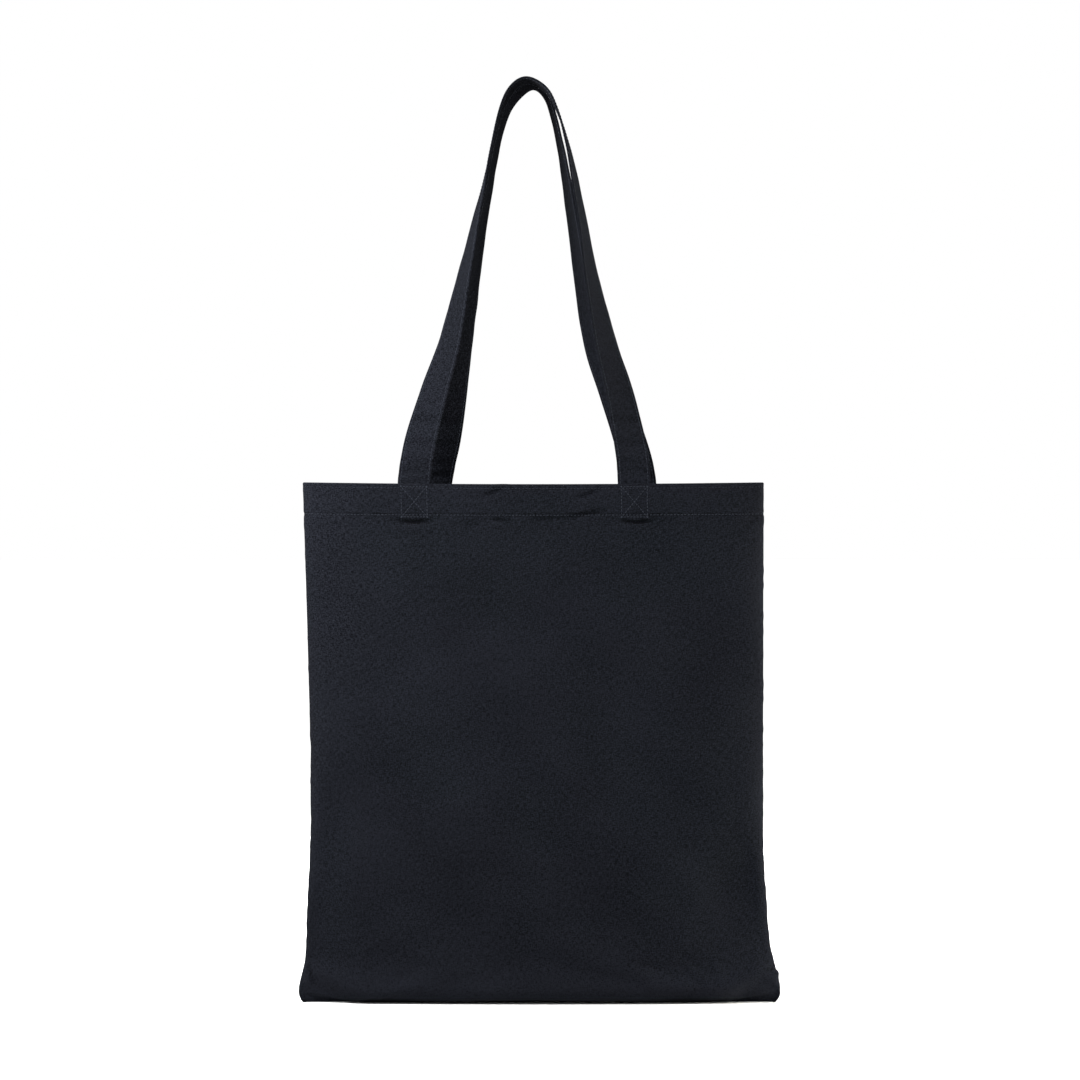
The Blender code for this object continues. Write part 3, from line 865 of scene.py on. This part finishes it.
# %% Route of each strap
ROUTES = {
    FRONT: [(-98.4, 0), (-96.2, 17), (-92.4, 36), (-82.5, 71), (-70.5, 110), (-59.2, 162),
            (-47.4, 217), (-36.6, 266), (-29.6, 293), (-22.0, 309), (-10.5, 316), (3.5, 310),
            (12.8, 296), (22.0, 266), (31.9, 217), (40.9, 162), (52.0, 110), (62.6, 71),
            (70.2, 36), (73.4, 17), (74.6, 0)],
    BACK: [(-82.5, 0), (-79.3, 17), (-74.8, 36), (-68.7, 71), (-62.3, 110), (-53.0, 162),
           (-43.4, 217), (-34.6, 266), (-27.6, 293), (-16.8, 309), (-4.5, 316), (5.5, 307),
           (11.0, 291), (17.0, 266), (25.0, 217), (33.4, 162), (44.4, 110), (59.0, 71),
           (71.2, 36), (76.9, 17), (80.1, 0)],
}
STRAP_WIDTH = 26 * MM
STRAP_THICK = 1.7 * MM
STRAP_INSET = 3.25 * MM
TAIL = 30 * MM
STRAP_RISE = 0.4 * MM
TWIST_HEIGHT = 290 * MM
PEAK_CLEAR = 0.4 * MM
STATION = 1.8 * MM
LEANS = {                    # degrees short of edge on, at places across the peak
    FRONT: [(-50, 0), (-24, -6), (-8, -4), (8, -1), (28, 6), (48, 0)],
    BACK: [(-50, 0), (-28, 13), (-14, 11), (2, 6), (24, 8), (48, 0)],
}


def strap_line(side):
    """Evenly spaced points along the middle of a strap, tails included, and their heights."""
    route = np.array(ROUTES[side]) * MM
    places, heights = route[:, 0], route[:, 1]
    base = np.abs(wall_y(side, places, rim_top, STRAP_INSET))
    top = STRAP_WIDTH / 2 + PEAK_CLEAR
    y = side * (base + (top - base) * smoothstep(0, heights.max(), heights))
    loop = np.stack([places, y, rim_top + STRAP_RISE + heights], -1)
    loop = read_curve(loop, np.linspace(0, len(loop) - 1, 1200))
    ends = []
    for end in (0, -1):
        drop = np.linspace(TAIL, MM, 40)
        x = np.full(40, loop[end, 0])
        inside = wall_y(side, x, rim_top - drop, STRAP_INSET)
        ends.append(np.stack([x, inside, rim_top - drop], -1))
    line = np.concatenate([ends[0], loop, ends[1][::-1]])
    walked = np.concatenate([[0], np.cumsum(np.linalg.norm(np.diff(line, axis=0), axis=-1))])
    steps = np.linspace(0, walked[-1], round(walked[-1] / STATION) + 1)
    return np.stack([np.interp(steps, walked, line[:, axis]) for axis in range(3)], -1), steps


def strap_frames(side):
    """At each station: centre, direction to the outer edge, direction out of the face."""
    line, steps = strap_line(side)
    soft = line.copy()
    for _ in range(3):
        soft[1:-1] = (soft[:-2] + 2 * soft[1:-1] + soft[2:]) / 4
    along = np.gradient(soft, axis=0)
    along /= np.linalg.norm(along, axis=-1, keepdims=True)
    height = soft[:, 2] - rim_top
    left_over = np.maximum(1 - np.maximum(height, 0) / TWIST_HEIGHT, 0)
    twist = np.pi / 2 * (1 - left_over ** 1.6)
    places, degrees = np.array(LEANS[side]).T
    twist = twist - np.radians(np.interp(soft[:, 0], places * MM, degrees)) * smoothstep(0.14, 0.25, height)
    out_of_loop = np.stack([-along[:, 2], np.zeros(len(line)), along[:, 0]], -1)
    out_of_loop /= np.linalg.norm(out_of_loop, axis=-1, keepdims=True)
    out_of_bag = np.array((0, side, 0))[None]
    turn, lean = np.cos(twist)[:, None], np.sin(twist)[:, None]
    return soft, out_of_loop * turn - out_of_bag * lean, out_of_bag * turn + out_of_loop * lean, steps


# %% Section of a strap
SECTION = [(0.0, 0.84), (4.0, 0.85), (8.0, 0.86), (9.9, 0.83), (10.8, 0.68), (11.6, 0.82),
           (12.3, 0.78), (12.75, 0.56), (13.0, 0.22)]       # from the middle to one edge, in mm
GROOVE = 4                   # which of these points lies in the stitched groove
CRUMPLES = ((4.5, 0.85, 1.5), (9.5, -0.60, 2.0), (15, 0.45, 2.6))   # mm above the rim, depth, reach


def strap_surface(side):
    """Points round the section at each station of a strap."""
    centre, edge, face, steps = strap_frames(side)
    half = np.array(SECTION) * MM
    width = np.concatenate([half[::-1, 0], -half[1:, 0]])
    thick = np.concatenate([half[::-1, 1], half[1:, 1]])
    ring = np.concatenate([np.stack([width, thick], -1), np.stack([width, -thick], -1)[::-1]])
    height = centre[:, 2] - rim_top
    free = smoothstep(0, 25 * MM, height)
    breadth = 1 + 0.004 * uneven(50 * MM, 20 + side, steps) * free
    bow = 0.12 * MM * uneven(60 * MM, 24 + side, steps) * free
    across = ring[:, 0] / (STRAP_WIDTH / 2)
    ripple = 0.12 * MM * uneven(34 * MM, 28 + side, steps)[:, None] * free[:, None] * across ** 2
    slant = height[:, None] + 3 * MM * across
    crumple = 0
    for level, depth, reach in CRUMPLES:
        crumple = crumple + depth * MM * np.exp(-((slant - level * MM) / (reach * MM)) ** 2)
    lift = ring[:, 1] + bow[:, None] + ripple + crumple
    return (centre[:, None] + edge[:, None] * (ring[:, 0] * breadth[:, None])[..., None]
            + face[:, None] * lift[..., None]), steps


# %% Build the straps
def blended(piece):
    """Bakes the piece's placement into its points."""
    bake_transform(piece)


def close_band(mesh):
    """Joins a band's two long edges, closes its ends and turns its faces outwards."""
    shape = bmesh.new()
    shape.from_mesh(mesh)
    bmesh.ops.remove_doubles(shape, verts=shape.verts, dist=1e-6)
    bmesh.ops.holes_fill(shape, edges=[e for e in shape.edges if e.is_boundary])
    bmesh.ops.recalc_face_normals(shape, faces=shape.faces)
    shape.to_mesh(mesh)
    shape.free()
    mesh.shade_smooth()


def make_strap(side):
    points, steps = strap_surface(side)
    stations, around = points.shape[:2]
    ring = np.concatenate([points, points[:, :1]], 1)
    girth = np.linalg.norm(np.diff(ring[stations // 2], axis=0), axis=-1)
    u = np.concatenate([[0], np.cumsum(girth)])
    cloth = np.stack(np.broadcast_arrays(u[None], steps[:, None]), -1)
    name = f"{SIDES[side]}_handle_strap"
    mesh = grid_mesh(name, ring, cloth, side == BACK)
    height = points[..., 2] - rim_top
    # Painted shade: lighter near the rim, darker higher up the strap, where less light reaches.
    strap_rub_and_shade = 0.15 - 0.32 * smoothstep(20 * MM, 90 * MM, height)
    strap_rub_and_shade[:, around // 2:] = -0.4                      # painted shade: the inner face is darker
    for level in (9 * MM, 17 * MM, 32 * MM, 50 * MM):    # painted shade in soft wrinkles where the strap leaves the bag
        strap_rub_and_shade -= 0.35 * np.exp(-((height - level) / (3 * MM)) ** 2)
    paint_wear_and_shade(mesh, np.concatenate([strap_rub_and_shade, strap_rub_and_shade[:, :1]], 1).ravel())
    close_band(mesh)
    strap = add_piece(name, mesh, CANVAS)
    blended(strap)
    label = SIDES[side]
    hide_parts(f"{label}_handle", f"{label}_left_strap_end", f"{label}_right_strap_end")
    print(name, len(mesh.polygons), "faces;", round(steps[-1] / MM), "mm long")


for side in SIDES:
    make_strap(side)

# %% [markdown]
# ## Stitches
#
# A line of stitches is one small shape repeated along a path, the very thing that Geometry
# Nodes are for.  The path is a bare line of points that carries, at each point, the direction
# out of the cloth.  The tree cuts it into even steps, sets a short arched thread on each step,
# turns it along the path with its arch outwards, and makes every copy real.


# %% Tree that sews a path
class Sewing:
    """A small helper to build the stitch tree, one named node at a time."""

    def __init__(self, name):
        self.group = bpy.data.node_groups.new(name, "GeometryNodeTree")
        self.entry = None

    def takes(self, **kinds):
        for name, kind in kinds.items():
            label = name.replace("_", " ")
            self.group.interface.new_socket(label, in_out="INPUT", socket_type="NodeSocket" + kind)
        self.group.interface.new_socket("Sewn", in_out="OUTPUT", socket_type="NodeSocketGeometry")
        self.entry = self.group.nodes.new("NodeGroupInput")

    def given(self, name):
        return self.entry.outputs[name]

    def node(self, kind, settings, out=0, **named):
        made = self.group.nodes.new(kind)
        for setting, value in settings.items():
            setattr(made, setting, value)
        for name, value in named.items():
            options = [s for s in made.inputs if s.name == name.replace("_", " ") and s.enabled]
            if isinstance(value, bpy.types.NodeSocket):
                self.group.links.new(value, options[0])
            else:
                options[0].default_value = value
        return made.outputs[out]

    def maths(self, operation, first, second=0.0):
        made = self.group.nodes.new("ShaderNodeMath")
        made.operation = operation
        for socket, value in zip(made.inputs, (first, second)):
            if isinstance(value, bpy.types.NodeSocket):
                self.group.links.new(value, socket)
            else:
                socket.default_value = value
        return made.outputs[0]


ARC_STEPS = 5                # stretches along each stitch
THREAD_SIDES = 6
STITCH_FACES = ARC_STEPS * THREAD_SIDES + 2          # the thread's wall and its two caps


def stitch_tree():
    sewing = Sewing("running_stitches")
    sewing.takes(Path="Geometry", Pitch="Float", Stitch_Length="Float", Thread_Radius="Float",
                 Arch="Float", Slant="Float", Seed="Int", Thread="Material")
    given = sewing.given
    half = sewing.maths("MULTIPLY", given("Stitch Length"), 0.5)
    back = sewing.maths("MULTIPLY", half, -1.0)
    sunk = sewing.maths("MULTIPLY", given("Arch"), -0.35)
    crest = sewing.maths("MULTIPLY", given("Arch"), 2.0)
    places = [sewing.node("ShaderNodeCombineXYZ", {}, X=x, Z=z)
              for x, z in ((back, sunk), (0.0, crest), (half, sunk))]
    arc = sewing.node("GeometryNodeCurveQuadraticBezier", {}, Resolution=ARC_STEPS,
                      Start=places[0], Middle=places[1], End=places[2])
    round_thread = sewing.node("GeometryNodeCurvePrimitiveCircle", {"mode": "RADIUS"},
                               Resolution=THREAD_SIDES, Radius=given("Thread Radius"))
    stitch = sewing.node("GeometryNodeCurveToMesh", {}, Curve=arc, Profile_Curve=round_thread,
                         Fill_Caps=True)
    line = sewing.node("GeometryNodeMeshToCurve", {}, Mesh=given("Path"))
    steps = sewing.node("GeometryNodeResampleCurve", {"mode": "LENGTH"}, Curve=line,
                        Length=given("Pitch"))
    tangent = sewing.node("GeometryNodeInputTangent", {})
    outward = sewing.node("GeometryNodeInputNamedAttribute", {"data_type": "FLOAT_VECTOR"},
                          Name="outward")
    ahead = sewing.node("FunctionNodeAlignRotationToVector", {"axis": "X"}, Vector=tangent)
    arched = sewing.node("FunctionNodeAlignRotationToVector", {"axis": "Z", "pivot_axis": "X"},
                         Rotation=ahead, Vector=outward)
    loose = sewing.node("FunctionNodeRandomValue", {"data_type": "FLOAT"}, out=1, Min=-0.06,
                        Max=0.06, Seed=given("Seed"))
    lean = sewing.maths("ADD", given("Slant"), loose)
    turn = sewing.node("ShaderNodeCombineXYZ", {}, Z=lean)
    turned = sewing.node("FunctionNodeRotateRotation", {"rotation_space": "LOCAL"},
                         Rotation=arched, Rotate_By=turn)
    sewn = sewing.node("GeometryNodeInstanceOnPoints", {}, Points=steps, Instance=stitch,
                       Rotation=turned)
    real = sewing.node("GeometryNodeRealizeInstances", {}, Geometry=sewn)
    smooth = sewing.node("GeometryNodeSetShadeSmooth", {}, Geometry=real)
    done = sewing.node("GeometryNodeSetMaterial", {}, Geometry=smooth, Material=given("Thread"))
    leave = sewing.group.nodes.new("NodeGroupOutput")
    sewing.group.links.new(done, leave.inputs["Sewn"])
    return sewing.group


STITCHES = stitch_tree()


# %% Sew along some paths
def sew(name, lines, **sizes):
    """Stitches as one plain mesh; each line is its points and the direction out of the cloth."""
    points = np.concatenate([line for line, _ in lines])
    outward = np.concatenate([np.broadcast_to(out, line.shape) for line, out in lines])
    edges, start = [], 0
    for line, _ in lines:
        edges += [(i, i + 1) for i in range(start, start + len(line) - 1)]
        start += len(line)
    path = bpy.data.meshes.new(name + "_path")
    path.from_pydata(points.tolist(), edges, [])
    path.attributes.new("outward", "FLOAT_VECTOR", "POINT").data.foreach_set("vector", outward.ravel())
    piece = bpy.data.objects.new(name, path)
    bpy.context.scene.collection.objects.link(piece)
    needle = piece.modifiers.new("stitches", "NODES")
    needle.node_group = STITCHES
    wanted = dict(Pitch=2.7 * MM, Stitch_Length=1.9 * MM, Thread_Radius=0.2 * MM,
                  Arch=0.22 * MM, Slant=0.08, Seed=SEED, Thread=THREAD)
    wanted.update(sizes)
    for socket in STITCHES.interface.items_tree:
        value = wanted.get(socket.name.replace(" ", "_"))
        if value is not None:
            needle[socket.identifier] = value
    bpy.context.view_layer.update()
    ready = piece.evaluated_get(bpy.context.evaluated_depsgraph_get())
    mesh = bpy.data.meshes.new_from_object(ready)
    piece.modifiers.remove(needle)
    piece.data = mesh
    bpy.data.meshes.remove(path)
    mesh.name = name
    print(name, len(mesh.polygons) // STITCH_FACES, "stitches")
    return piece


# %% [markdown]
# ## Hem and rim stitching
#
# One line holds the hem, 24 mm below the rim, and a second runs close to the rim's top edge.
# Both go through the cloth, so each is sewn on the outer face and again on the hem inside.


# %% Places on the cloth
def on_cloth(side, across, drop, inset=0.0):
    """Points of the panel's outer face, that far across and below the rim, and their normals."""
    across, drop = np.broadcast_arrays(np.asarray(across, float), np.asarray(drop, float))
    row = np.interp(-drop, -drops, np.arange(len(drops)))
    column = np.interp(across, spans, np.arange(len(spans)))
    r, c = np.minimum(row.astype(int), len(drops) - 2), np.minimum(column.astype(int), len(spans) - 2)
    fr, fc = (row - r)[:, None], (column - c)[:, None]
    results = []
    for grid in (fine[side], normals[side]):
        low = grid[r, c] * (1 - fc) + grid[r, c + 1] * fc
        high = grid[r + 1, c] * (1 - fc) + grid[r + 1, c + 1] * fc
        results.append(low * (1 - fr) + high * fr)
    place, normal = results
    return place - normal * inset, normal


def wall_line(side, start, end, inside=0.0):
    """A straight line of sewing from start to end, each (across, drop)."""
    count = max(round(math.dist(start, end) / MM), 2)
    across = np.linspace(start[0], end[0], count)
    drop = np.linspace(start[1], end[1], count)
    place, normal = on_cloth(side, across, drop, inside)
    return (place, -normal) if inside else (place, normal)


SEW_EDGE = PANEL_WIDTH / 2 - 2 * MM
HEM_INSIDE = 2 * FOLD
for side in SIDES:
    for label, drop in (("hem", HEM_DROP), ("rim", RIM_DROP)):
        lines = [wall_line(side, (-SEW_EDGE, drop), (SEW_EDGE, drop), inside)
                 for inside in (0.0, HEM_INSIDE)]
        arch, radius = (0.22, 0.20) if label == "hem" else (0.04, 0.15)
        stitches = sew(f"{SIDES[side]}_{label}_stitches", lines, Arch=arch * MM,
                       Thread_Radius=radius * MM, Stitch_Length=1.5 * MM)
        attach(stitches, "bag")
        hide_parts(f"{SIDES[side]}_{label}_stitching")

# %% [markdown]
# ## Crossed boxes
#
# Each strap end is held by a box of stitches with a cross in it, sewn through the panel, the
# hem and the strap.  It shows outside as dots a little paler than the canvas, and inside on the
# tail of the strap.


# %% Sew the crossed boxes
def across_at(side, x, drop):
    """How far across the cloth a point of the rim region at x lies."""
    row = np.argmin(np.abs(drops - drop))
    return float(np.interp(x, fine[side][row, :, 0], spans))


def crossed_box(side, x, inside):
    middle = across_at(side, x, HEM_DROP / 2)
    left, right = middle - BOX_WIDTH / 2, middle + BOX_WIDTH / 2
    corners = [(left, BOX_TOP), (right, BOX_TOP), (right, BOX_BOTTOM), (left, BOX_BOTTOM)]
    legs = list(zip(corners, corners[1:] + corners[:1]))
    legs += [(corners[0], corners[2]), (corners[1], corners[3])]
    return [wall_line(side, start, end, inside) for start, end in legs]


TAIL_FACE = STRAP_INSET + STRAP_THICK / 2
for side in SIDES:
    for leg, x in zip(("left", "right"), STRAP_PLACES[side]):
        lines = crossed_box(side, x, 0.0) + crossed_box(side, x, TAIL_FACE)
        label = f"{SIDES[side]}_{leg}"
        stitches = sew(f"{label}_cross_stitches", lines, Pitch=2.5 * MM, Stitch_Length=1.5 * MM)
        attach(stitches, "bag")
        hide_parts(f"{label}_crossed_stitching")

# %% [markdown]
# ## Strap stitching
#
# Two lines run the length of each strap, 2.2 mm from its edges, on both faces.  They are laid
# on the strap's own surface, so they bend with it.


# %% Sew the straps
def strap_stitch_line(side, edge_side, face_side):
    """Along one groove of a strap, on one of its faces."""
    points, _ = strap_surface(side)
    count = len(SECTION)
    groove = GROOVE if edge_side > 0 else 2 * (count - 1) - GROOVE
    if face_side < 0:
        groove = 2 * (2 * count - 1) - 1 - groove
    _, _, face, _ = strap_frames(side)
    return points[3:-3, groove], face[3:-3] * face_side


for side in SIDES:
    for label, edge_side in (("outer", 1), ("inner", -1)):
        lines = [strap_stitch_line(side, edge_side, face_side) for face_side in (1, -1)]
        stitches = sew(f"{SIDES[side]}_handle_{label}_stitches", lines)
        blended(stitches)
        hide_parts(f"{SIDES[side]}_handle_{label}_edge_stitching")

# %% [markdown]
# ## Seam allowances
#
# Inside, the raw edges of both panels stand along the seams as a narrow double ply.  Overlock
# thread binds them.  Here it is a row of slanting stitches on each face, short of the edge,
# with a straight line beside it.


# %% Build the seam allowances
SEAM_WIDTH = 9.5 * MM
SEAM_HALF = 0.75 * MM        # half the thickness of the two plies
SEAM_GAP = 1.3 * MM          # from the seam line to the allowance
STRIP = [(0, 0.7), (0.3, 1), (3, 1), (6, 1), (9, 1), (9.5, 0.5)]   # mm across, share of SEAM_HALF


def seam_line(column):
    """The settled side seam, from above the ear to just below the hem."""
    middle = (fine[FRONT][:, column] + fine[BACK][:, column]) / 2
    keep = (middle[:, 2] > 21 * MM) & (middle[:, 2] < rim_top - HEM - 2 * MM)
    return middle[keep]


def base_line():
    """The seam along the middle of the base, between the two ears."""
    middle = (fine[FRONT][0] + fine[BACK][0]) / 2
    low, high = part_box("bottom_seam_allowance")
    keep = (middle[:, 0] > low.x + 2 * MM) & (middle[:, 0] < high.x - 2 * MM)
    return middle[keep]


def seam_strip(name, line, inward):
    """A narrow double ply that stands inwards from a seam, and the four lines to sew on it."""
    normal = np.cross(np.gradient(line, axis=0), inward)
    normal /= np.linalg.norm(normal, axis=-1, keepdims=True)
    steps = np.concatenate([[0], np.cumsum(np.linalg.norm(np.diff(line, axis=0), axis=-1))])
    wave = 0.5 * MM * uneven(22 * MM, 40 + len(name), steps)[:, None] / SEAM_WIDTH

    def at(reach, out):
        return line + inward * (SEAM_GAP + reach) + normal * (out + wave * reach)

    ring = [at(a * MM, b * SEAM_HALF) for a, b in STRIP]
    ring += [at(a * MM, -b * SEAM_HALF) for a, b in reversed(STRIP)]
    points = np.stack(ring + ring[:1], 1)
    u = np.linspace(0, 2.2 * SEAM_WIDTH, len(ring) + 1)
    mesh = grid_mesh(name, points, np.stack(np.broadcast_arrays(u[None], steps[:, None]), -1), False)
    paint_wear_and_shade(mesh, [0.3] * len(mesh.vertices))
    close_band(mesh)
    lines = [(at(reach, hand * SEAM_HALF)[2:-2], (normal * hand)[2:-2], reach)
             for hand in (1, -1) for reach in (2.2 * MM, 6.4 * MM)]
    return add_piece(name, mesh, CANVAS), lines


SEAMS = {"left": (seam_line(0), (1, 0, 0)), "right": (seam_line(-1), (-1, 0, 0)),
         "bottom": (base_line(), (0, 0, 1))}
for label, (line, inward) in SEAMS.items():
    inward = np.broadcast_to(np.array(inward, float), line.shape)
    strip, sewing_lines = seam_strip(f"{label}_seam_edge", line, inward)
    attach(strip, "bag")
    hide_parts(f"{label}_seam_allowance")
    straight = [(points, out) for points, out, reach in sewing_lines if reach < 4 * MM]
    bound = [(points, out) for points, out, reach in sewing_lines if reach > 4 * MM]
    for kind, lines, sizes in (("seam", straight, {}),
                               ("overlock", bound, {"Pitch": 2.2 * MM, "Stitch_Length": 5.4 * MM,
                                                    "Slant": 1.15, "Arch": 0.15 * MM})):
        stitches = sew(f"{label}_{kind}_stitches", lines, **sizes)
        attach(stitches, "bag")
